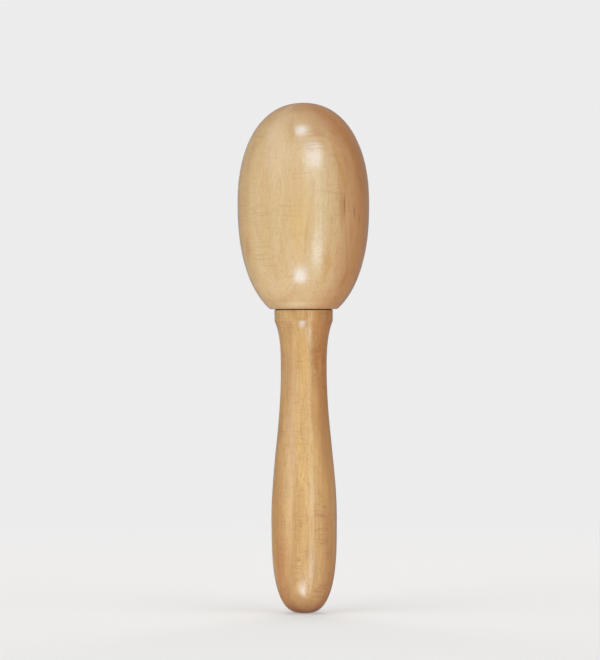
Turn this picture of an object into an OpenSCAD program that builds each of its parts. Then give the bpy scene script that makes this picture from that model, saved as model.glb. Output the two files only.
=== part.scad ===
// Darning egg: a turned wooden egg on a turned wooden handle, held by a glued round tenon.
// Z runs up the turning axis, from the round end of the handle to the crown of the egg.
// The origin is the lowest point of the round end. Lengths are in millimetres.

/* [Egg] */
// Diameter of the egg at its widest plane
egg_d = 47.5; // [42:0.5:60]
// Height of the crown above the widest plane
crown_h = 36.4; // [30:0.2:48]
// Height that the lower curve would have if it ran on to a point
skirt_h = 42.2; // [40:0.2:50]
// Height of the widest plane above the flat base
base_h = 37.8; // [34:0.2:38.6]
// Fullness of the crown's curve, where 2 is an ellipse
crown_fullness = 2.22; // [2:0.02:2.6]
// Fullness of the lower curve
skirt_fullness = 2.26; // [2:0.02:2.6]
// Radius that eases the rim of the flat base
rim_r = 0.8; // [0.2:0.1:1.5]

/* [Handle] */
// Length of the handle from its round end to its shoulder
handle_h = 109.1; // [100:0.1:130]
// Diameter of the collar under the egg
collar_d = 21.1; // [19:0.1:22]
// Height of the collar
collar_h = 3.9; // [2:0.1:8]
// Radius that eases the top edge of the collar, against the egg
collar_top_r = 0.2; // [0.1:0.1:0.6]
// Radius that eases the lower edge of the collar
collar_low_r = 0.5; // [0.2:0.1:0.9]
// Diameter of the waist under the collar
waist_d = 16.7; // [14:0.1:18.5]
// Height of the waist above the round end
waist_z = 86; // [70:1:90]
// Hollowness of the cove that runs from the collar to the waist
cove_power = 3.5; // [2:0.1:5]
// Diameter of the swell that fills the palm
swell_d = 23.7; // [20:0.1:28]
// Height of the swell above the round end
swell_z = 34; // [24:1:44]
// Fullness of the round end, where 2 is an ellipse
end_fullness = 2.9; // [2:0.1:3.4]

/* [Glued joint] */
// Diameter of the tenon that is turned on the handle
tenon_d = 9.5; // [8:0.1:11]
// Length of the tenon above the shoulder
tenon_h = 22; // [16:0.5:26]
// Number of glue grooves turned round the tenon
groove_count = 4; // [2:1:5]
// Depth of a glue groove
groove_depth = 0.4; // [0.2:0.1:0.6]
// Clearance that the glue fills between the tenon and its hole, on the radius
glue_t = 0.15; // [0.1:0.05:0.3]
// Free depth of the hole past the end of the tenon
pocket_h = 1.5; // [0.5:0.5:3]
// Shadow gap between the shoulder of the handle and the base of the egg
gap_h = 0.3; // [0.2:0.1:0.8]

/* [Hidden] */
egg_wood = "#dcbc8c";
handle_wood = "#cf9f63";
dry_glue = "#5b3a1c";

egg_r = egg_d / 2;
collar_r = collar_d / 2;
waist_r = waist_d / 2;
swell_r = swell_d / 2;
tenon_r = tenon_d / 2;
hole_r = tenon_r + glue_t;

base_z = handle_h + gap_h;
wide_z = base_z + base_h;
tenon_top_z = handle_h + tenon_h;
hole_top_z = tenon_top_z + pocket_h;
collar_z = handle_h - collar_h;

// Widths of the small cuts at the joint
mouth_w = 0.6;
tenon_chamfer = 1.2;
groove_w = 1.8;
film_setback = 0.1;
film_r = collar_r - collar_top_r - film_setback;

// Angle of the cone that a twist drill leaves, and the height of that cone
drill_angle = 118;
drill_h = hole_r / tan(drill_angle / 2);

// Steps along each stretch of a profile, and round the turned pieces
curve_steps = 28;
easing_steps = 5;
groove_steps = 8;
$fn = 96;

function unit(v) = v / norm(v);
function flat(p) = [p[0], p[1]];
function mix(a, b, t) = a + (b - a) * t;
function smooth(t) = t * t * (3 - 2 * t);

// Point at angle a on a superellipse of half-width r and half-height h
function superellipse(r, h, fullness, a) =
    [r * pow(cos(a), 2 / fullness), h * pow(sin(a), 2 / fullness)];

// Angle at which that superellipse reaches the height z
function superellipse_angle(h, fullness, z) = asin(pow(z / h, fullness / 2));

// Arc of radius r in the corner b, between its neighbours a and c
function arc(a, b, c, r) =
    let (
        u = unit(a - b),
        v = unit(c - b),
        half = acos(u * v) / 2,
        centre = b + unit(u + v) * r / sin(half),
        from = b + u * r / tan(half) - centre,
        to = b + v * r / tan(half) - centre,
        turn = acos(unit(from) * unit(to))
    )
    [for (i = [0:easing_steps])
        let (t = i / easing_steps)
        centre + (sin((1 - t) * turn) * from + sin(t * turn) * to) / sin(turn)];

// Outline whose corners are [x, z], or [x, z, radius] where an arc eases them
function eased(corners) = [
    for (i = [0:len(corners) - 1])
        each len(corners[i]) == 3
            ? arc(flat(corners[i - 1]), flat(corners[i]), flat(corners[i + 1]), corners[i][2])
            : [corners[i]]
];

// Egg above the rim, from just over the base to the crown
function egg_curve() =
    let (
        low = superellipse_angle(skirt_h, skirt_fullness, base_h),
        skirt = [for (i = [1:curve_steps])
            superellipse(egg_r, -skirt_h, skirt_fullness, low * (1 - i / curve_steps))],
        crown = [for (i = [1:curve_steps])
            superellipse(egg_r, crown_h, crown_fullness, 90 * i / curve_steps)]
    )
    [for (p = concat(skirt, crown)) p + [0, wide_z]];

// Radius of the flat base, measured to the sharp rim
function base_r() =
    superellipse(egg_r, skirt_h, skirt_fullness,
        superellipse_angle(skirt_h, skirt_fullness, base_h))[0];

// Handle from the round end up to the swell
function end_curve() = [
    for (i = [0:curve_steps])
        let (p = superellipse(swell_r, -swell_z, end_fullness, 90 * (1 - i / curve_steps)))
        p + [0, swell_z]
];

// Handle from the swell up to the waist, an S in which both ends run straight
function grip_curve() = [
    for (i = [1:curve_steps])
        let (t = i / curve_steps)
        [mix(swell_r, waist_r, smooth(t)), mix(swell_z, waist_z, t)]
];

// Handle from the waist up to just under the collar
function cove_curve() = [
    for (i = [1:curve_steps - 1])
        let (t = i / curve_steps)
        [mix(waist_r, collar_r, pow(t, cove_power)), mix(waist_z, collar_z, t)]
];

// Wall of the tenon from the shoulder up to its chamfer, with the glue grooves in it
function tenon_wall() =
    let (
        wall_h = tenon_h - tenon_chamfer,
        pitch = wall_h / groove_count
    )
    concat(
        [[tenon_r, handle_h]],
        [for (g = [0:groove_count - 1], i = [0:groove_steps])
            let (
                t = i / groove_steps,
                cut = groove_depth * (1 - cos(360 * t)) / 2
            )
            [tenon_r - cut, handle_h + (g + 0.5) * pitch + groove_w * (t - 0.5)]],
        [[tenon_r, handle_h + wall_h]]
    );

module handle() {
    color(handle_wood)
        rotate_extrude()
            polygon(eased(concat(
                end_curve(),
                grip_curve(),
                cove_curve(),
                [[collar_r, collar_z, collar_low_r], [collar_r, handle_h, collar_top_r]],
                tenon_wall(),
                [[tenon_r - tenon_chamfer, tenon_top_z], [0, tenon_top_z]]
            )));
}

module egg() {
    color(egg_wood)
        rotate_extrude()
            polygon(eased(concat(
                [[0, hole_top_z + drill_h], [hole_r, hole_top_z]],
                [[hole_r, base_z + mouth_w], [hole_r + mouth_w, base_z]],
                [[base_r(), base_z, rim_r]],
                egg_curve()
            )));
}

// Dried glue: the sleeve round the tenon, and the film in the shadow gap
module glue_line() {
    color(dry_glue)
        rotate_extrude()
            polygon(concat(
                tenon_wall(),
                [[hole_r, tenon_top_z - tenon_chamfer]],
                [[hole_r, base_z + mouth_w], [hole_r + mouth_w, base_z]],
                [[film_r, base_z], [film_r, handle_h]]
            ));
}

handle();
egg();
glue_line();
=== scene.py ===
"""Looks of a turned wooden darning egg on a turned handle.

Lacquered wood, the line of glue, the floor and backdrop, the lamps and the camera. Everything is in
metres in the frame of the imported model: Z runs up the turning axis from the round end.
"""
import math

import bpy
import numpy as np
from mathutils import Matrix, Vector


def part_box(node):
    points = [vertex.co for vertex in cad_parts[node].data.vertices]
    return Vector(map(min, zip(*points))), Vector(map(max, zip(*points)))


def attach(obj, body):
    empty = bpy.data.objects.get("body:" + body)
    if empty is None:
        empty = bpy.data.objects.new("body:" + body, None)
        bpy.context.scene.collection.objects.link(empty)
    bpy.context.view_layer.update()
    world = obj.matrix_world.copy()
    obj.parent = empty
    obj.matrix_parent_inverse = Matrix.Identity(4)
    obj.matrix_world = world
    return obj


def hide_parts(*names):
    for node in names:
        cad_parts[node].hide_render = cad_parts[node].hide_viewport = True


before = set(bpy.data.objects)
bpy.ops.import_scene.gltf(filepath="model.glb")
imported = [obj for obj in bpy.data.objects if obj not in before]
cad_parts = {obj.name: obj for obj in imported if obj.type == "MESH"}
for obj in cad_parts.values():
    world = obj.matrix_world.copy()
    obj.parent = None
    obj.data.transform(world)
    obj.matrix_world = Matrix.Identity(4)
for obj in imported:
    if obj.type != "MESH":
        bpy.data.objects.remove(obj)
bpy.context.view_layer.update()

MM = 0.001

# The photograph in its own pixels: its frame, where the turning axis crosses its middle row, and
# the row of the round end's lowest point
PHOTO_W = 600
PHOTO_H = 660
AXIS_X = 303.2
END_Y = 612.5
# Lean of the turning axis in it, in radians, and what one pixel covers on the object
AXIS_LEAN = 0.0025
PIXEL = 0.36 * MM

# Whites. The lamps that shine in the lacquer have daylight's, and those on the wood the plain one.
WHITE = "#ffffff"
COOL = "#c8e4ff"
COLDER = "#b0dbff"

# Height that the lamps are aimed at, as a share of the object's
LAMP_AIM = 0.62

# Brightness of the backdrop, where 1 is white. It is a little darker, so that a white rim of gloss
# still shows.
BACKDROP = 0.84

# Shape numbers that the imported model's boxes don't tell
CROWN_FULLNESS = 2.22
SKIRT_FULLNESS = 2.26
END_FULLNESS = 2.9
COVE_POWER = 3.5
SKIRT_H = 42.2 * MM
BASE_H = 37.8 * MM
RIM_R = 0.8 * MM
SWELL_Z = 34 * MM
WAIST_Z = 86 * MM
WAIST_R = 8.35 * MM
COLLAR_R = 10.55 * MM
COLLAR_H = 3.9 * MM
COLLAR_TOP_R = 0.2 * MM
COLLAR_LOW_R = 0.5 * MM
GAP_H = 0.3 * MM
MOUTH_W = 0.6 * MM
TENON_R = 4.75 * MM
TENON_CHAMFER = 1.2 * MM
GLUE_T = 0.15 * MM
POCKET_H = 1.5 * MM
GROOVE_COUNT = 4
GROOVE_W = 1.8 * MM
GROOVE_DEPTH = 0.4 * MM
DRILL_HALF_ANGLE = math.radians(59)

# Points on a dense curve, before it is spaced evenly, and on the stretches of the two outlines
DENSE = 4000
EGG_SIDE_POINTS = 260
HANDLE_SIDE_POINTS = 330
TENON_POINTS = 120

# Dense points from a corner to the place that its side's direction is taken from
RIM_REACH = 60
COLLAR_REACH = 80

# Edges that turn by more than this stay sharp
SHARP_ANGLE = math.radians(28)

# What drying, sanding and the chisel take off the true round. Each set of flats has 2 to 5 of them
# round the piece, as the draw stops short of 6, and the chisel's depth is a share of its pitch.
OVAL_DEPTH = 0.02 * MM
FLAT_SETS = 5
FLATS_ROUND = (2, 6)
FLAT_LENGTH_MM = (16, 40)
FLAT_DEPTH_MM = (0.004, 0.01)
CHISEL_PITCHES = (2.3 * MM, 3.7 * MM, 6.1 * MM)
CHISEL_DEPTH = 0.0006
CHISEL_WOBBLE = 0.7

# Lengths over which that fades out, at the edge of the skin and towards the axis
SKIN_FADE = 2 * MM
AXIS_FADE = 6 * MM

# Marks in the wood, laid one over another, with some painted light among them: painted highlights,
# a painted reflection, a painted sheen and painted shade, each noted where it stands. Each has the
# bearing and height of its upper end, those of its lower end, its width, its strength and its
# colour. Bearings are in degrees from the front, to the right, and heights and widths in
# millimetres.
EGG_MARKS_AND_PAINTED_LIGHT = (
    (-4, 153, -5, 128, 8.0, 0.35, "#dab063"),
    (-21, 137, -17, 122, 1.4, 0.3, "#cda052"),
    (3.4, 141.5, 1.3, 131.5, 1.0, 0.5, "#c08d3a"),
    (-21, 156.5, -20.5, 152, 0.6, 0.4, "#b58f4a"),
    (-16, 178, -12, 168, 1.8, 0.3, "#b98150"),
    (31, 167, 39.5, 151.5, 1.5, 0.4, "#b58230"),
    (35, 180, 48, 168, 6.0, 0.45, "#a3642e"),
    (62, 178, 64, 148, 5.5, 0.35, "#8e5a2a"),
    (26, 185, 26, 172, 6.0, 0.4, "#a87440"),
    (-50, 166, -50, 124, 8.0, 0.2, "#d4aa66"),
    (23, 126, 22, 117, 2.4, 0.4, "#c08f3c"),
    (22.4, 131, 24.5, 122, 2.6, 0.4, "#bd8c36"),
    (35.5, 149, 35.5, 139.5, 1.6, 0.4, "#a2641f"),
    (37.7, 149, 38, 144, 0.5, 0.75, "#8a4f12"),
    (42.7, 148, 43, 145, 0.5, 0.45, "#8f5a22"),
    (46.8, 151.2, 46.6, 149.2, 0.5, 0.6, "#8a4f12"),
    (49, 145.8, 50, 142, 0.5, 0.75, "#74400e"),
    (56.6, 143, 57, 140.4, 0.6, 0.5, "#80501c"),
    (39, 140, 46, 125.5, 0.5, 0.4, "#96602a"),
    (45.7, 140, 49, 130, 0.45, 0.4, "#96602a"),
    (45.5, 128, 48.5, 121, 1.6, 0.4, "#a0662e"),
    (48.5, 122.5, 46.5, 116.5, 2.8, 0.45, "#a0662e"),
    (60, 124, 72, 119.5, 3.0, 0.4, "#aa6427"),
    # Browner heart side, and partly painted shade: it darkens the egg's far right edge
    (72, 176, 72, 120, 4.5, 0.32, "#9a6030"),
    # Painted sheen: a pale, cooler patch at the crown's upper left, where the lacquer reflects a
    # broad soft light
    (-34, 182, -32, 164, 7.0, 0.4, "#dcc3a4"),
    (-68, 178, -68, 115, 9.0, 0.35, "#d2a164"),
    (-61, 169.5, -57, 164.5, 3.0, 0.3, "#b0763d"),
    (-63, 165, -60, 158, 3.2, 0.3, "#b27a42"),
    (-61, 135, -66, 127.5, 2.8, 0.4, "#ba7a40"),
    # Painted reflection: a pale, cool band round the front of the egg just above its base, where
    # light from below shines
    (-12, 111.9, -12, 110.4, 12.0, 0.22, "#e8dcc4"),
)
HANDLE_MARKS_AND_PAINTED_LIGHT = (
    (31, 94, 33, 88, 2.2, 0.5, "#b5651f"),
    (29, 111, 27, 95, 2.3, 0.5, "#b26c20"),
    (33, 114, 31, 76, 5.5, 0.35, "#a6702c"),
    (46, 113, 44, 52, 3.2, 0.45, "#a05e1c"),
    (34, 92, 26, 62, 2.2, 0.25, "#b07028"),
    (40.5, 68, 38, 40, 1.4, 0.15, "#9d652c"),
    (-74, 70, -46, 10, 8.0, 0.4, "#a9682d"),
    (-46, 97, -44, 76, 3.8, 0.35, "#b07a48"),
    (-27, 84, -26, 30, 3.2, 0.36, "#eccda4"),
    (-6, 109, -4, 90, 4.0, 0.25, "#bf9248"),
    (-10, 86, -10, 74, 1.5, 0.3, "#ecca94"),
    (-20, 107, -20, 103, 1.5, 0.35, "#e4bc84"),
    # Painted highlight: a pale spot on the collar's lower edge, where a glint of the lamps falls
    (12, 107, 12, 103, 1.1, 0.4, "#e8c08a"),
    (-44, 73, -42, 64, 2.2, 0.25, "#e4c096"),
    (-32, 52, -32, 40, 2.0, 0.22, "#b08450"),
    (43, 93, 43, 87, 1.6, 0.25, "#d8a860"),
    (31, 80, 31, 73, 1.8, 0.22, "#e4b874"),
    (43, 52, 43, 39, 2.2, 0.25, "#e2be6c"),
    (6, 97, 7, 80, 3.6, 0.26, "#f0c272"),
    (-70, 101, -68, 86, 3.5, 0.3, "#a86c46"),
    (63, 62, 63, 18, 5.0, 0.4, "#cba86e"),
    # Paler wood, and partly a painted highlight on the grip just above the swell
    (15, 47, 15, 36, 4.0, 0.25, "#efd0a8"),
    (-44, 5, -36, 0.5, 4.5, 0.4, "#8a4c16"),
    # Painted highlight: a pale patch on the round end that brightens the low lamp's glint there
    (-4, 11.5, -3, 7, 4.0, 0.4, "#e8c08c"),
    (5.5, 109, 5.4, 105.6, 1.1, 0.45, "#c06c1c"),
    (24, 109.5, 22, 103, 2.6, 0.3, "#c88a3a"),
    (46, 110, 44, 90, 3.6, 0.45, "#a86618"),
    (-49, 25, -55, 5, 5.5, 0.45, "#b0662a"),
)

# How far the marks sway to the side, in radians, and how much of their size noise frays
MARK_SWAY = 0.06
MARK_FRAY = 0.8

# Spacing of the sandpaper's rings in millimetres, the grey that is left where they are rubbed out,
# and how much firmer they are in one place
RING_SPACING = 0.75
RUBBED_OUT = 0.42
FIRMER = 2.4

# That place on each piece: a point on the skin and a radius, in millimetres
FIRM_ON_EGG = ((3.4, -19.5, 169.0), 6.0)
FIRM_ON_HANDLE = ((4.7, -7.0, 93.1), 6.0)

# Quick wandering of the grain, as a share of the slow
QUICK_WANDER = 0.4

# Sockets of the Mix node when it mixes colours
MIX_SHARE = 0
MIX_UNDER = 6
MIX_OVER = 7
MIX_RESULT = 2

# Lamps, as seen from the object: name, azimuth, elevation, distance, width, height and brightness,
# and a colour for those that shine in the lacquer. Angles are in degrees and lengths in metres.
LAMPS_ON_WOOD = (
    ("left_high_wall", -50, 50, 1.3, 0.9, 0.7, 2.25),
    ("left_low_wall", -50, -20, 1.3, 0.9, 0.7, 2.4),
    ("right_high_wall", 50, 50, 1.3, 0.9, 0.7, 1.9),
    ("right_low_wall", 50, -20, 1.3, 0.9, 0.7, 2.2),
    ("ceiling", 0, 80, 1.3, 0.9, 0.7, 3.3),
    ("under_wall", 0, -55, 1.3, 0.9, 0.7, 0.6),
    ("back_wall", 180, 35, 1.6, 1.6, 1.6, 3.0),
)
LAMPS_IN_LACQUER = (
    ("high_spot", -5.6, 65.5, 1.1, 0.31, 0.21, 14.3, COLDER),
    ("low_spot", -7, -40.2, 0.85, 0.31, 0.175, 13.8, COLDER),
    ("right_box", 23, 35.2, 1.2, 0.6, 0.44, 6.3, COOL),
    ("box_glow", 14, 32, 1.2, 0.7, 0.7, 1.9, COOL),
    ("right_card", 24, 10.6, 0.5, 0.167, 0.083, 1.6, COOL),
    ("waist_card", 26, -4.6, 0.4, 0.12, 0.06, 1.6, COOL),
    ("right_strip", 26, -20.8, 1.2, 0.36, 0.42, 4.7, COOL),
    ("left_glow", -52, 26, 1.4, 0.9, 0.8, 1.3, COOL),
)

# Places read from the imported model
EGG_LOW, EGG_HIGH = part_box("egg")
HANDLE_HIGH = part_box("handle")[1]
EGG_R = EGG_HIGH.x
BASE_Z = EGG_LOW.z
CROWN_Z = EGG_HIGH.z
WIDE_Z = BASE_Z + BASE_H
CROWN_H = CROWN_Z - WIDE_Z
SWELL_R = HANDLE_HIGH.x
TENON_TOP_Z = HANDLE_HIGH.z
SHOULDER_Z = BASE_Z - GAP_H
HOLE_R = TENON_R + GLUE_T
HOLE_TOP_Z = TENON_TOP_Z + POCKET_H


def linear(code):
    """An sRGB hex colour as linear red, green, blue and an alpha of 1."""
    parts = np.array([int(code[i:i + 2], 16) for i in (1, 3, 5)]) / 255
    low = parts / 12.92
    high = ((parts + 0.055) / 1.055) ** 2.4
    return (*np.where(parts <= 0.04045, low, high).tolist(), 1.0)


# Outlines of the two turnings

def evenly(radius, height, steps):
    """Points of a dense curve, spaced evenly along its length, without the first one."""
    along = np.concatenate([[0], np.cumsum(np.hypot(np.diff(radius), np.diff(height)))])
    wanted = np.linspace(0, along[-1], steps + 1)[1:]
    return np.stack([np.interp(wanted, along, radius), np.interp(wanted, along, height)], 1)


def straight(start, end, steps):
    """Even points from start to end, without the first one."""
    share = np.linspace(0, 1, steps + 1)[1:, None]
    return np.array(start) + (np.array(end) - np.array(start)) * share


def superellipse(r, h, fullness, angle):
    """Radius and height at an angle, on a superellipse of half-width r and half-height h.

    Each is its half-size times the cosine or the sine to the power 2 / fullness.
    """
    return (
        r * np.clip(np.cos(angle), 0, 1) ** (2 / fullness),
        h * np.clip(np.sin(angle), 0, 1) ** (2 / fullness),
    )


def eased_corner(before, corner, after, r, steps=8):
    """Arc of radius r that rounds a corner between two straight directions."""
    before, corner, after = (np.array(p) for p in (before, corner, after))
    u = (before - corner) / np.linalg.norm(before - corner)
    v = (after - corner) / np.linalg.norm(after - corner)
    half = math.acos(float(u @ v)) / 2
    centre = corner + (u + v) / np.linalg.norm(u + v) * r / math.sin(half)
    start = corner + u * r / math.tan(half) - centre
    end = corner + v * r / math.tan(half) - centre
    turn = math.acos(float(start @ end) / r ** 2)
    t = np.linspace(0, 1, steps + 1)[:, None]
    return centre + (np.sin((1 - t) * turn) * start + np.sin(t * turn) * end) / math.sin(turn)


def egg_outline():
    """Radius and height from the crown down the egg, across its base and up its hole.

    The crown is a quarter of a superellipse, and the skirt below the widest plane is most of a
    quarter of another. Then come the eased rim, the flat base, the countersunk mouth, the drilled
    hole and its point.
    """
    crown = np.linspace(math.pi / 2, 0, DENSE)
    crown_r, crown_z = superellipse(EGG_R, CROWN_H, CROWN_FULLNESS, crown)
    low = math.asin((BASE_H / SKIRT_H) ** (SKIRT_FULLNESS / 2))
    skirt = np.linspace(0, low, DENSE)
    skirt_r, skirt_z = superellipse(EGG_R, SKIRT_H, SKIRT_FULLNESS, skirt)
    side_r = np.concatenate([crown_r, skirt_r])
    side_z = np.concatenate([crown_z, -skirt_z]) + WIDE_Z
    over_rim = (side_r[-RIM_REACH], side_z[-RIM_REACH])
    rim = eased_corner(over_rim, (side_r[-1], BASE_Z), (HOLE_R, BASE_Z), RIM_R)
    above = side_z > rim[0, 1]
    mouth_out = (HOLE_R + MOUTH_W, BASE_Z)
    mouth_in = (HOLE_R, BASE_Z + MOUTH_W)
    hole_top = (HOLE_R, HOLE_TOP_Z)
    point = (0, HOLE_TOP_Z + HOLE_R / math.tan(DRILL_HALF_ANGLE))
    return np.concatenate([
        [(0, CROWN_Z)],
        evenly(side_r[above], side_z[above], EGG_SIDE_POINTS),
        rim,
        straight(rim[-1], mouth_out, steps=8),
        straight(mouth_out, mouth_in, steps=2),
        straight(mouth_in, hole_top, steps=12),
        straight(hole_top, point, steps=6),
    ])


def tenon_wall():
    """Radius and height from the tenon's chamfer down to the shoulder.

    Each glue groove is one wave of a cosine, cut into the wall at the middle of its pitch.
    """
    wall_h = TENON_TOP_Z - SHOULDER_Z - TENON_CHAMFER
    pitch = wall_h / GROOVE_COUNT
    height = np.linspace(wall_h, 0, TENON_POINTS)
    offset = (height % pitch) - pitch / 2
    inside = np.abs(offset) < GROOVE_W / 2
    cut = GROOVE_DEPTH * (1 + np.cos(2 * math.pi * offset / GROOVE_W)) / 2 * inside
    return np.stack([TENON_R - cut, height + SHOULDER_Z], 1)


def handle_outline():
    """Radius and height from the tenon's top down to the round end.

    With t as the share of the height, the cove's radius grows from the waist as t to the power
    COVE_POWER, and the grip runs from the swell to the waist in an S, t * t * (3 - 2 * t). The end
    is a quarter of a superellipse.
    """
    t = np.linspace(1, 0, DENSE)
    collar_z = SHOULDER_Z - COLLAR_H
    cove_r = WAIST_R + (COLLAR_R - WAIST_R) * t ** COVE_POWER
    cove_z = WAIST_Z + (collar_z - WAIST_Z) * t
    grip_r = SWELL_R + (WAIST_R - SWELL_R) * t * t * (3 - 2 * t)
    grip_z = SWELL_Z + (WAIST_Z - SWELL_Z) * t
    quarter = np.linspace(0, math.pi / 2, DENSE)
    end_r, end_z = superellipse(SWELL_R, SWELL_Z, END_FULLNESS, quarter)
    shoulder = (COLLAR_R, SHOULDER_Z)
    collar = (COLLAR_R, collar_z)
    under_collar = (cove_r[COLLAR_REACH], cove_z[COLLAR_REACH])
    top_edge = eased_corner((TENON_R, SHOULDER_Z), shoulder, collar, COLLAR_TOP_R)
    low_edge = eased_corner(shoulder, collar, under_collar, COLLAR_LOW_R)
    below = cove_z < low_edge[-1, 1]
    side_r = np.concatenate([cove_r[below], grip_r, end_r])
    side_z = np.concatenate([cove_z[below], grip_z, SWELL_Z - end_z])
    return np.concatenate([
        [(0, TENON_TOP_Z)],
        straight((0, TENON_TOP_Z), (TENON_R - TENON_CHAMFER, TENON_TOP_Z), steps=4),
        tenon_wall(),
        straight((TENON_R, SHOULDER_Z), top_edge[0], steps=6),
        top_edge,
        straight(top_edge[-1], low_edge[0], steps=6)[:-1],
        low_edge,
        evenly(side_r, side_z, HANDLE_SIDE_POINTS),
    ])


# What the lathe and the drying leave on a turned surface

def turned_relief(radius, height, turn, seed):
    """Depth of wood that is missing from the true turning, as a sum of smooth waves.

    Drying makes the round slightly oval, sanding by hand leaves broad shallow flats, and the chisel
    leaves low rings along the axis. Each wave is a cosine, raised so that it only takes wood away.
    """
    draw = np.random.default_rng(seed)
    oval_at, lean = draw.uniform(0, math.pi, 2)
    oval = OVAL_DEPTH * (1 - np.cos(2 * (turn - oval_at)))
    total = oval * np.ones_like(radius + height)
    for _ in range(FLAT_SETS):
        across = draw.integers(*FLATS_ROUND)
        length = draw.uniform(*FLAT_LENGTH_MM) * MM
        phase = draw.uniform(0, 2 * math.pi)
        depth = draw.uniform(*FLAT_DEPTH_MM) * MM
        along = 2 * math.pi * height / length
        total = total + depth * (1 - np.cos(across * turn + along + phase))
    for pitch in CHISEL_PITCHES:
        phase = draw.uniform(0, 2 * math.pi)
        wobble = CHISEL_WOBBLE * np.sin(turn + lean)
        along = 2 * math.pi * height / pitch
        total = total + CHISEL_DEPTH * pitch * (1 - np.cos(along + phase + wobble))
    return total * np.clip(radius / AXIS_FADE, 0, 1)


def outside_of_egg(points):
    """1 on the skin of the egg and 0 in its hole, with a fade across the base."""
    beyond_hole = np.clip((points[:, 0] - (HOLE_R + 2 * MOUTH_W)) / SKIN_FADE, 0, 1)
    crown = points[:, 1] > (HOLE_TOP_Z + CROWN_Z) / 2
    return np.maximum(beyond_hole, crown)


def outside_of_handle(points):
    """1 on the skin of the handle and 0 on its tenon, with a fade under the shoulder."""
    return np.clip((SHOULDER_Z - points[:, 1]) / SKIN_FADE, 0, 1)


def turning(name, outline, outside, seed, around):
    """Turns an outline round Z, less what is missing from its radius.

    A point is (radius * cos turn, radius * sin turn, height). Both ends of the outline lie on the
    axis and become single vertices, so the skin is closed.
    """
    radius, height = outline[1:-1, 0, None], outline[1:-1, 1, None]
    turn = np.linspace(0, 2 * math.pi, around, endpoint=False)[None, :]
    skin = outside(outline[1:-1])[:, None]
    worn = radius - turned_relief(radius, height, turn, seed) * skin
    rings = np.stack([worn * np.cos(turn), worn * np.sin(turn), height + 0 * turn], -1)
    poles = np.array([[0, 0, outline[0, 1]], [0, 0, outline[-1, 1]]])
    points = np.concatenate([rings.reshape(-1, 3), poles])
    count = len(radius)
    here = np.arange(count * around).reshape(count, around)
    beside = np.roll(here, -1, axis=1)
    quads = np.stack([here[:-1], here[1:], beside[1:], beside[:-1]], -1).reshape(-1, 4)
    first, last = count * around, count * around + 1
    cap = np.stack([np.full(around, first), here[0], beside[0]], -1)
    tip = np.stack([beside[-1], here[-1], np.full(around, last)], -1)
    mesh = bpy.data.meshes.new(name)
    mesh.from_pydata(points.tolist(), [], quads.tolist() + cap.tolist() + tip.tolist())
    mesh.shade_smooth()
    mesh.set_sharp_from_angle(angle=SHARP_ANGLE)
    mesh.validate()
    piece = bpy.data.objects.new(name, mesh)
    bpy.context.scene.collection.objects.link(piece)
    return piece


# Materials

def add(tree, kind, inputs=(), out=0, **settings):
    """Adds a shader node with its settings, fills its inputs, and returns one of its outputs.

    An input is filled with a value, or linked to another node's output.
    """
    made = tree.nodes.new("ShaderNode" + kind)
    for key, value in settings.items():
        setattr(made, key, value)
    for key, value in dict(inputs).items():
        if isinstance(value, bpy.types.NodeSocket):
            tree.links.new(value, made.inputs[key])
        else:
            made.inputs[key].default_value = value
    return made.outputs[out]


def new_material(name):
    """An empty node material and its tree."""
    material = bpy.data.materials.new(name)
    material.use_nodes = True
    material.node_tree.nodes.clear()
    return material, material.node_tree


def finish_material(tree, shader):
    """Links a shader to the material's output."""
    output = tree.nodes.new("ShaderNodeOutputMaterial")
    tree.links.new(shader, output.inputs["Surface"])


def millimetres(tree):
    """Object coordinates in millimetres."""
    place = add(tree, "TexCoord", out="Object")
    return add(tree, "Mapping", {"Vector": place, "Scale": (1 / MM, 1 / MM, 1 / MM)})


def grain_noise(tree, place, width, length, detail=2.0, roughness=0.5, shift=0.0):
    """Noise whose features are width millimetres across the grain and length along it.

    The shift moves the pattern to another place in the noise.
    """
    stretched = add(tree, "Mapping", {
        "Vector": place,
        "Location": (shift, shift, shift),
        "Scale": (1 / width, 1 / width, 1 / length),
    })
    return add(tree, "TexNoise", {
        "Vector": stretched,
        "Scale": 1.0,
        "Detail": detail,
        "Roughness": roughness,
    })


def tinted(tree, colour, tint, pattern, low, high, most=1.0):
    """A colour with a tint laid over it.

    The tint grows from none where a pattern is at low to most where it is at high.
    """
    share = add(tree, "MapRange", {
        "Value": pattern,
        "From Min": low,
        "From Max": high,
        "To Max": most,
    }, interpolation_type="SMOOTHSTEP")
    return add(tree, "Mix", {
        MIX_SHARE: share,
        MIX_UNDER: colour,
        MIX_OVER: linear(tint),
    }, out=MIX_RESULT, data_type="RGBA")


def towards(tree, place, side, wander):
    """Millimetres from the axis towards one side of the tree, with wandering round zero.

    The slow wandering covers wander millimetres. The last node takes away the mean of both noises.
    """
    plain = add(tree, "VectorMath", {
        0: place,
        1: (*side, 0),
    }, out="Value", operation="DOT_PRODUCT")
    slow = add(tree, "Math", {
        0: grain_noise(tree, place, 15, 80, detail=1.0),
        1: wander,
        2: plain,
    }, operation="MULTIPLY_ADD")
    both = add(tree, "Math", {
        0: grain_noise(tree, place, 3, 55, shift=31.7),
        1: wander * QUICK_WANDER,
        2: slow,
    }, operation="MULTIPLY_ADD")
    mean = wander * (1 + QUICK_WANDER) / 2
    return add(tree, "Math", {0: both, 1: mean}, operation="SUBTRACT")


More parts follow.
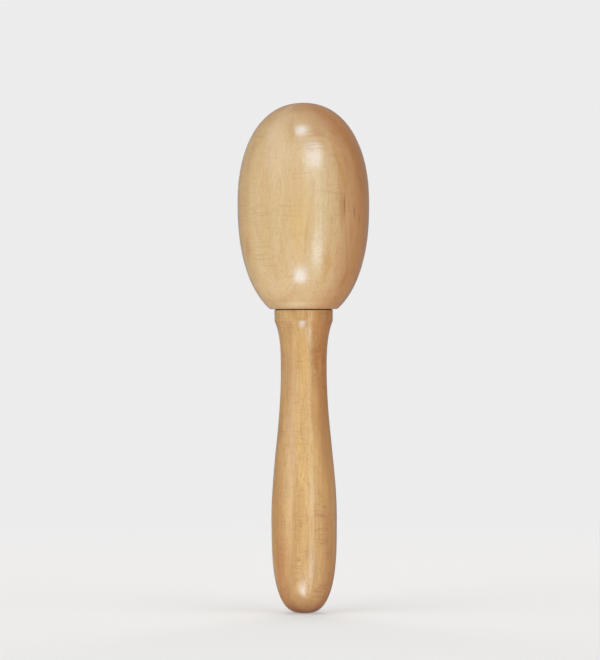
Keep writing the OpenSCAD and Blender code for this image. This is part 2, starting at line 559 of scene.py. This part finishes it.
def late_wood(tree, depth, spacing):
    """Darker wood of each year, spacing millimetres apart.

    It builds up through the year and stops short, and some years have more than others.
    """
    years = add(tree, "Math", {0: depth, 1: -1 / spacing}, operation="MULTIPLY")
    share = add(tree, "Math", {0: years}, operation="FRACT")
    year = add(tree, "Math", {0: years}, operation="FLOOR")
    luck = add(tree, "TexWhiteNoise", {"W": year}, noise_dimensions="1D")
    strength = add(tree, "MapRange", {"Value": luck, "To Min": 0.25})
    build = add(tree, "MapRange", {
        "Value": share,
        "From Min": 0.1,
        "From Max": 0.92,
        "To Max": strength,
    }, interpolation_type="SMOOTHSTEP")
    return add(tree, "MapRange", {
        "Value": share,
        "From Min": 1.0,
        "From Max": 0.9,
        "To Max": build,
    }, interpolation_type="SMOOTHSTEP")


def end_grain(tree):
    """0 on the sides and 1 where the surface faces along the grain, on crown and round end."""
    normal = add(tree, "TexCoord", out="Normal")
    along = add(tree, "SeparateXYZ", {0: normal}, out="Z")
    return add(tree, "Math", {0: along}, operation="ABSOLUTE")


def marked(tree, place, colour, outline, marks):
    """Lays marks on a colour: soft ellipses on the unrolled surface, leaning from end to end.

    A point's distance from a mark is the length of (distance across / width, distance up / length),
    where the distance across is the turn from the mark's leaning line times the radius there. Noise
    frays the edges.
    """
    # The outline's outer side in millimetres, from the bottom up
    beyond_joint = outline[:, 0] > HOLE_R + SKIN_FADE
    skin = outline[beyond_joint][::-1] / MM
    axes = add(tree, "SeparateXYZ", {0: place}).node.outputs
    front = add(tree, "Math", {0: axes["Y"], 1: -1.0}, operation="MULTIPLY")
    turn = add(tree, "Math", {0: axes["X"], 1: front}, operation="ARCTAN2")
    sway = grain_noise(tree, place, 5, 8, detail=1.0, shift=5.2)
    turn = add(tree, "Math", {0: sway, 1: MARK_SWAY, 2: turn}, operation="MULTIPLY_ADD")
    fray = grain_noise(tree, place, 0.7, 9, shift=1.7)
    for start_turn, start, end_turn, end, width, strength, tint in marks:
        middle_turn = math.radians(start_turn + end_turn) / 2 + MARK_SWAY / 2
        middle = (start + end) / 2
        lean = math.radians(end_turn - start_turn) / (end - start)
        radius = float(np.interp(middle, skin[:, 1], skin[:, 0]))
        up = add(tree, "Math", {0: axes["Z"], 1: middle}, operation="SUBTRACT")
        swing = add(tree, "Math", {0: up, 1: -lean, 2: turn}, operation="MULTIPLY_ADD")
        across = add(tree, "Math", {
            0: swing,
            1: radius / width,
            2: -middle_turn * radius / width,
        }, operation="MULTIPLY_ADD")
        along = add(tree, "Math", {0: up, 1: 1 / (start - end)}, operation="MULTIPLY")
        pair = add(tree, "CombineXYZ", {"X": across, "Y": along})
        far = add(tree, "VectorMath", {0: pair}, out="Value", operation="LENGTH")
        frayed = add(tree, "Math", {0: fray, 1: MARK_FRAY, 2: far}, operation="MULTIPLY_ADD")
        colour = tinted(tree, colour, tint, frayed, 1 + MARK_FRAY / 2, MARK_FRAY / 2, strength)
    return colour


def sanding_rings(tree, place, firm_at, firm_radius, length):
    """Rings that sandpaper leaves on the lathe, broken into scratches of a length.

    They are there in some patches and rubbed out in others, and firmer than plain in one place, so
    the last node isn't clamped. The scratches of the finest paper are under 0.1 mm apart and too
    fine to show, so these are drawn coarser.
    """
    turned = add(tree, "Mapping", {
        "Vector": place,
        "Scale": (1 / length, 1 / length, 1 / RING_SPACING),
    })
    rings = add(tree, "TexNoise", {
        "Vector": turned,
        "Scale": 1.0,
        "Detail": 2.0,
        "Roughness": 0.65,
    })
    patchy = add(tree, "MapRange", {
        "Value": grain_noise(tree, place, 11, 8, detail=1.0, shift=9.3),
        "From Min": 0.36,
        "From Max": 0.64,
    }, interpolation_type="SMOOTHSTEP")
    far = add(tree, "VectorMath", {0: place, 1: firm_at}, out="Value", operation="DISTANCE")
    near = add(tree, "MapRange", {
        "Value": far,
        "From Min": firm_radius,
        "From Max": firm_radius / 3,
    }, interpolation_type="SMOOTHSTEP")
    firm = add(tree, "Math", {0: near, 1: FIRMER, 2: patchy}, operation="MULTIPLY_ADD")
    return add(tree, "MapRange", {
        "Value": firm,
        "To Min": RUBBED_OUT,
        "To Max": rings,
    }, clamp=False)


def sanded_skin(tree, place, rings):
    """Bump of the sanding rings, of fibres that stand proud and of the lacquer's flow."""
    ringed = add(tree, "Bump", {
        "Height": rings,
        "Strength": 1.0,
        "Distance": 0.03 * MM,
    }, out="Normal")
    fibred = add(tree, "Bump", {
        "Height": grain_noise(tree, place, 0.5, 4, shift=3.1),
        "Strength": 1.0,
        "Distance": 0.012 * MM,
        "Normal": ringed,
    }, out="Normal")
    return add(tree, "Bump", {
        "Height": grain_noise(tree, place, 2.4, 3, detail=1.0, shift=6.4),
        "Strength": 1.0,
        "Distance": 0.02 * MM,
        "Normal": fibred,
    }, out="Normal")


def lacquered(tree, colour, bump, dullness):
    """Clear lacquer over sanded wood, which is soaked with it and has little shine of its own."""
    return add(tree, "BsdfPrincipled", {
        "Base Color": colour,
        "Roughness": 0.5,
        "IOR": 1.5,
        "Specular IOR Level": 0.2,
        "Coat Weight": 1.0,
        "Coat Roughness": dullness,
        "Coat IOR": 1.5,
        "Normal": bump,
        "Coat Normal": bump,
    })


def pale_maple(outline):
    """Maple sapwood, turned, sanded on the lathe and lacquered.

    The eye gets a creamy, nearly plain wood with soft bands and fine lines along the grain, browner
    towards the heart of the tree, with a few brown streaks there, under a clear coat that shows the
    sandpaper's rings. Pores, mottle and flecks of real maple are under 0.2 mm wide and too fine to
    show, so they are drawn about 0.5 mm wide.
    """
    material, tree = new_material("lacquered_pale_maple")
    place = millimetres(tree)
    rings = sanding_rings(tree, place, *FIRM_ON_EGG, length=7)
    depth = towards(tree, place, side=(0.68, 0.73), wander=6.0)
    behind = towards(tree, place, side=(-0.2, 0.98), wander=7.0)
    bands = grain_noise(tree, place, 5.5, 60)
    colour = tinted(tree, linear("#d9c092"), "#d6b883", bands, 0.32, 0.68)
    clouds = grain_noise(tree, place, 7, 26, detail=1.0, shift=12.0)
    colour = tinted(tree, colour, "#d6ae82", clouds, 0.45, 0.7, 0.4)
    pale_lines = grain_noise(tree, place, 0.9, 9, roughness=0.6, shift=8.7)
    colour = tinted(tree, colour, "#e8cfa2", pale_lines, 0.5, 0.75, 0.2)
    colour = tinted(tree, colour, "#b8814a", depth, -13.0, 2.0)
    colour = tinted(tree, colour, "#b98850", late_wood(tree, depth, 5.2), 0.0, 1.0, 0.16)
    in_heart = add(tree, "MapRange", {
        "Value": depth,
        "From Min": -8,
        "From Max": 0,
        "To Min": 0.1,
        "To Max": 0.45,
    })
    streaks = grain_noise(tree, place, 1.2, 16, roughness=0.55, shift=4.1)
    colour = tinted(tree, colour, "#a06a2c", streaks, 0.48, 0.74, in_heart)
    colour = tinted(tree, colour, "#d8b680", behind, -1.0, 17.0, 0.85)
    pores = grain_noise(tree, place, 0.5, 3, detail=3.0, roughness=0.65, shift=4.1)
    colour = tinted(tree, colour, "#a67a44", pores, 0.4, 0.75, 0.22)
    mottle = grain_noise(tree, place, 0.45, 0.6, roughness=0.6, shift=14.1)
    colour = tinted(tree, colour, "#a67a44", mottle, 0.4, 0.7, 0.2)
    colour = tinted(tree, colour, "#a67a44", rings, 0.42, 0.75, 0.36)
    flecks = grain_noise(tree, place, 0.5, 2.4, detail=1.0, shift=17.0)
    colour = tinted(tree, colour, "#94683a", flecks, 0.68, 0.8, 0.2)
    colour = tinted(tree, colour, "#a87a48", end_grain(tree), 0.3, 1.0, 0.7)
    # Wood marks, with a painted sheen, a painted reflection and partly painted shade among them
    colour = marked(tree, place, colour, outline, EGG_MARKS_AND_PAINTED_LIGHT)
    finish_material(tree, lacquered(tree, colour, sanded_skin(tree, place, rings), dullness=0.19))
    return material


def honey_maple(outline):
    """Darker maple, turned, sanded on the lathe and lacquered.

    The eye gets a warmer wood with firmer streaks than the egg's, in straight bands along the
    handle, light down the front and orange brown at the right. Its pores, mottle and flecks are
    drawn coarser too.
    """
    material, tree = new_material("lacquered_honey_maple")
    place = millimetres(tree)
    rings = sanding_rings(tree, place, *FIRM_ON_HANDLE, length=3)
    depth = towards(tree, place, side=(0.8, 0.6), wander=3.5)
    behind = towards(tree, place, side=(-0.2, 0.98), wander=3.5)
    bands = grain_noise(tree, place, 3.4, 120, shift=2.0)
    colour = tinted(tree, linear("#d8b272"), "#cda467", bands, 0.35, 0.65)
    pale_lines = grain_noise(tree, place, 0.9, 22, roughness=0.6, shift=18.7)
    colour = tinted(tree, colour, "#e6c48c", pale_lines, 0.5, 0.75, 0.25)
    colour = tinted(tree, colour, "#a96c2a", depth, -3.0, 4.5, 0.85)
    colour = tinted(tree, colour, "#aa733c", late_wood(tree, depth, 3.4), 0.0, 1.0, 0.25)
    streaks = grain_noise(tree, place, 1.0, 30, roughness=0.55, shift=8.1)
    colour = tinted(tree, colour, "#9c6430", streaks, 0.48, 0.74, 0.28)
    colour = tinted(tree, colour, "#cfa266", behind, 0.0, 8.0, 0.75)
    pores = grain_noise(tree, place, 0.5, 5, detail=3.0, roughness=0.65, shift=6.1)
    colour = tinted(tree, colour, "#966430", pores, 0.4, 0.75, 0.24)
    mottle = grain_noise(tree, place, 0.45, 0.8, roughness=0.6, shift=14.1)
    colour = tinted(tree, colour, "#966430", mottle, 0.4, 0.7, 0.16)
    in_heart = add(tree, "MapRange", {
        "Value": depth,
        "From Min": -4,
        "From Max": 0,
        "To Min": 0.25,
        "To Max": 0.6,
    })
    colour = tinted(tree, colour, "#8a5424", rings, 0.42, 0.75, in_heart)
    flecks = grain_noise(tree, place, 0.5, 2.4, detail=1.0, shift=27.0)
    colour = tinted(tree, colour, "#82542a", flecks, 0.67, 0.8, 0.25)
    colour = tinted(tree, colour, "#8a4c12", end_grain(tree), 0.06, 0.9, 0.9)
    # Wood marks, with painted highlights among them
    colour = marked(tree, place, colour, outline, HANDLE_MARKS_AND_PAINTED_LIGHT)
    finish_material(tree, lacquered(tree, colour, sanded_skin(tree, place, rings), dullness=0.22))
    return material


def glue_with_painted_gap_shade():
    """Dried wood glue, squeezed out into the gap under the egg and coloured nearly black, which
    paints the gap's shade onto it.

    The eye gets a dull brown that is nearly black in the gap, partly painted shade.
    """
    material, tree = new_material("wood_glue_with_painted_gap_shade")
    patches = grain_noise(tree, millimetres(tree), 1.2, 1.2, detail=3.0)
    # Nearly black brown: the glue's colour with painted shade of the gap between egg and handle
    colour = tinted(tree, linear("#241306"), "#3c230f", patches, 0.3, 0.7)
    bump = add(tree, "Bump", {
        "Height": patches,
        "Strength": 1.0,
        "Distance": 0.05 * MM,
    }, out="Normal")
    shader = add(tree, "BsdfPrincipled", {
        "Base Color": colour,
        "Roughness": 0.7,
        "Specular IOR Level": 0.2,
        "Normal": bump,
    })
    finish_material(tree, shader)
    return material


# Pieces

egg_line = egg_outline()
egg = turning("turned_egg", egg_line, outside_of_egg, seed=11, around=256)
egg.data.materials.append(pale_maple(egg_line))
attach(egg, "root")
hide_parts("egg")

handle_line = handle_outline()
handle = turning("turned_handle", handle_line, outside_of_handle, seed=23, around=200)
handle.data.materials.append(honey_maple(handle_line))
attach(handle, "root")
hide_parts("handle")

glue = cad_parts["glue_line"]
glue.data.materials.clear()
glue.data.materials.append(glue_with_painted_gap_shade())


# Floor, world, lamps and camera

def panel(name, corners, material):
    """A flat panel with four corners, which isn't part of the object."""
    mesh = bpy.data.meshes.new(name)
    mesh.from_pydata(corners, [], [(0, 1, 2, 3)])
    mesh.materials.append(material)
    made = bpy.data.objects.new(name, mesh)
    bpy.context.scene.collection.objects.link(made)
    return made


def pale_floor(size):
    """A wide pale floor that fades to the backdrop away from the object, so that no horizon shows.

    It is a little darker to the camera than to the object, to go with the backdrop. It is clear
    from below, so that the round end can be looked at from there.
    """
    material, tree = new_material("pale_floor")
    place = add(tree, "TexCoord", out="Object")
    far = add(tree, "VectorMath", {0: place}, out="Value", operation="LENGTH")
    fade = add(tree, "MapRange", {
        "Value": far,
        "From Min": 0.1,
        "From Max": 0.6,
        "To Min": 0.45,
    }, interpolation_type="SMOOTHSTEP")
    camera = add(tree, "LightPath", out="Is Camera Ray")
    seen = add(tree, "Math", {0: camera, 1: fade}, operation="MULTIPLY")
    colour = tinted(tree, linear("#f4f2ef"), "#dfddda", camera, 0.0, 1.0)
    diffuse = add(tree, "BsdfDiffuse", {"Color": colour})
    glow = add(tree, "Emission", {"Color": linear(WHITE), "Strength": BACKDROP})
    above = add(tree, "MixShader", {0: seen, 1: diffuse, 2: glow})
    below = add(tree, "NewGeometry", out="Backfacing")
    clear = add(tree, "BsdfTransparent")
    finish_material(tree, add(tree, "MixShader", {0: below, 1: above, 2: clear}))
    half = size / 2
    corners = [(-half, -half, 0), (half, -half, 0), (half, half, 0), (-half, half, 0)]
    floor = panel("floor", corners, material)
    floor.visible_shadow = False
    floor.visible_glossy = False


def pale_world(fill):
    """Pale grey to the camera, in gloss and through glass, and a plain fill light for the rest."""
    world = bpy.data.worlds.new("studio")
    bpy.context.scene.world = world
    world.use_nodes = True
    tree = world.node_tree
    tree.nodes.clear()
    path = add(tree, "LightPath").node.outputs
    camera, gloss = path["Is Camera Ray"], path["Is Glossy Ray"]
    seen = add(tree, "Math", {0: camera, 1: gloss}, operation="MAXIMUM")
    seen = add(tree, "Math", {0: seen, 1: path["Is Transmission Ray"]}, operation="MAXIMUM")
    level = add(tree, "MapRange", {"Value": seen, "To Min": fill, "To Max": BACKDROP})
    light = add(tree, "Background", {"Color": linear(WHITE), "Strength": level})
    output = tree.nodes.new("ShaderNodeOutputWorld")
    tree.links.new(light, output.inputs["Surface"])


def grey_flag(width, low, high, behind):
    """A grey screen behind the object that keeps its edges from washing out.

    Only the lacquer sees it.
    """
    material, tree = new_material("grey_cloth")
    finish_material(tree, add(tree, "Emission", {"Color": linear("#86868c"), "Strength": 1.0}))
    half = width / 2
    corners = [(x * half, behind, z) for x, z in ((-1, low), (1, low), (1, high), (-1, high))]
    flag = panel("grey_flag", corners, material)
    flag.visible_camera = False
    flag.visible_diffuse = False
    flag.visible_transmission = False
    flag.visible_shadow = False


def lamp(name, azimuth, elevation, distance, width, height, radiance,
         colour=WHITE, gloss=True, fill=True):
    """An area lamp of a given brightness, seen from the object at those angles.

    Azimuth 0 is the camera's side. A lamp with gloss off only lights the wood, and one with fill
    off only shines in the lacquer. Such lamps lose light to each other where rays also find them
    by chance, so each is sampled from its own side alone.
    """
    data = bpy.data.lights.new(name, "AREA")
    data.shape = "RECTANGLE"
    data.size = width
    data.size_y = height
    data.energy = radiance * math.pi * width * height
    data.color = linear(colour)[:3]
    data.cycles.use_multiple_importance_sampling = False
    made = bpy.data.objects.new(name, data)
    bpy.context.scene.collection.objects.link(made)
    a, e = math.radians(azimuth), math.radians(elevation)
    away = Vector((math.sin(a) * math.cos(e), -math.cos(a) * math.cos(e), math.sin(e)))
    aim = Vector((0, 0, CROWN_Z * LAMP_AIM))
    made.location = aim + away * distance
    made.rotation_mode = "QUATERNION"
    made.rotation_quaternion = away.to_track_quat("Z", "Y")
    made.visible_camera = False
    made.visible_glossy = gloss
    made.visible_diffuse = fill


def photo_camera(distance):
    """Level camera in front. Its lens makes one pixel cover PIXEL at the turning axis.

    The sensor's width goes with the photograph's longer side, its height. A pixel is numbered at
    its middle, so the photograph's own middle is half a pixel short of half its size.
    """
    data = bpy.data.cameras.new("photo_camera")
    data.sensor_width = 36
    data.lens = data.sensor_width * distance / (PHOTO_H * PIXEL)
    camera = bpy.data.objects.new("photo_camera", data)
    bpy.context.scene.collection.objects.link(camera)
    x = (PHOTO_W / 2 - 0.5 - AXIS_X) * PIXEL
    z = (END_Y - (PHOTO_H / 2 - 0.5)) * PIXEL
    camera.location = (x, -distance, z)
    camera.rotation_euler = (math.pi / 2, AXIS_LEAN, 0)
    bpy.context.scene.camera = camera


photo_camera(distance=1.2)
pale_floor(size=6.0)
grey_flag(width=0.9, low=-0.4, high=0.5, behind=0.12)
pale_world(fill=0.15)
for row in LAMPS_ON_WOOD:
    lamp(*row, gloss=False)
for row in LAMPS_IN_LACQUER:
    lamp(*row, fill=False)
bpy.context.scene.view_settings.view_transform = "Standard"
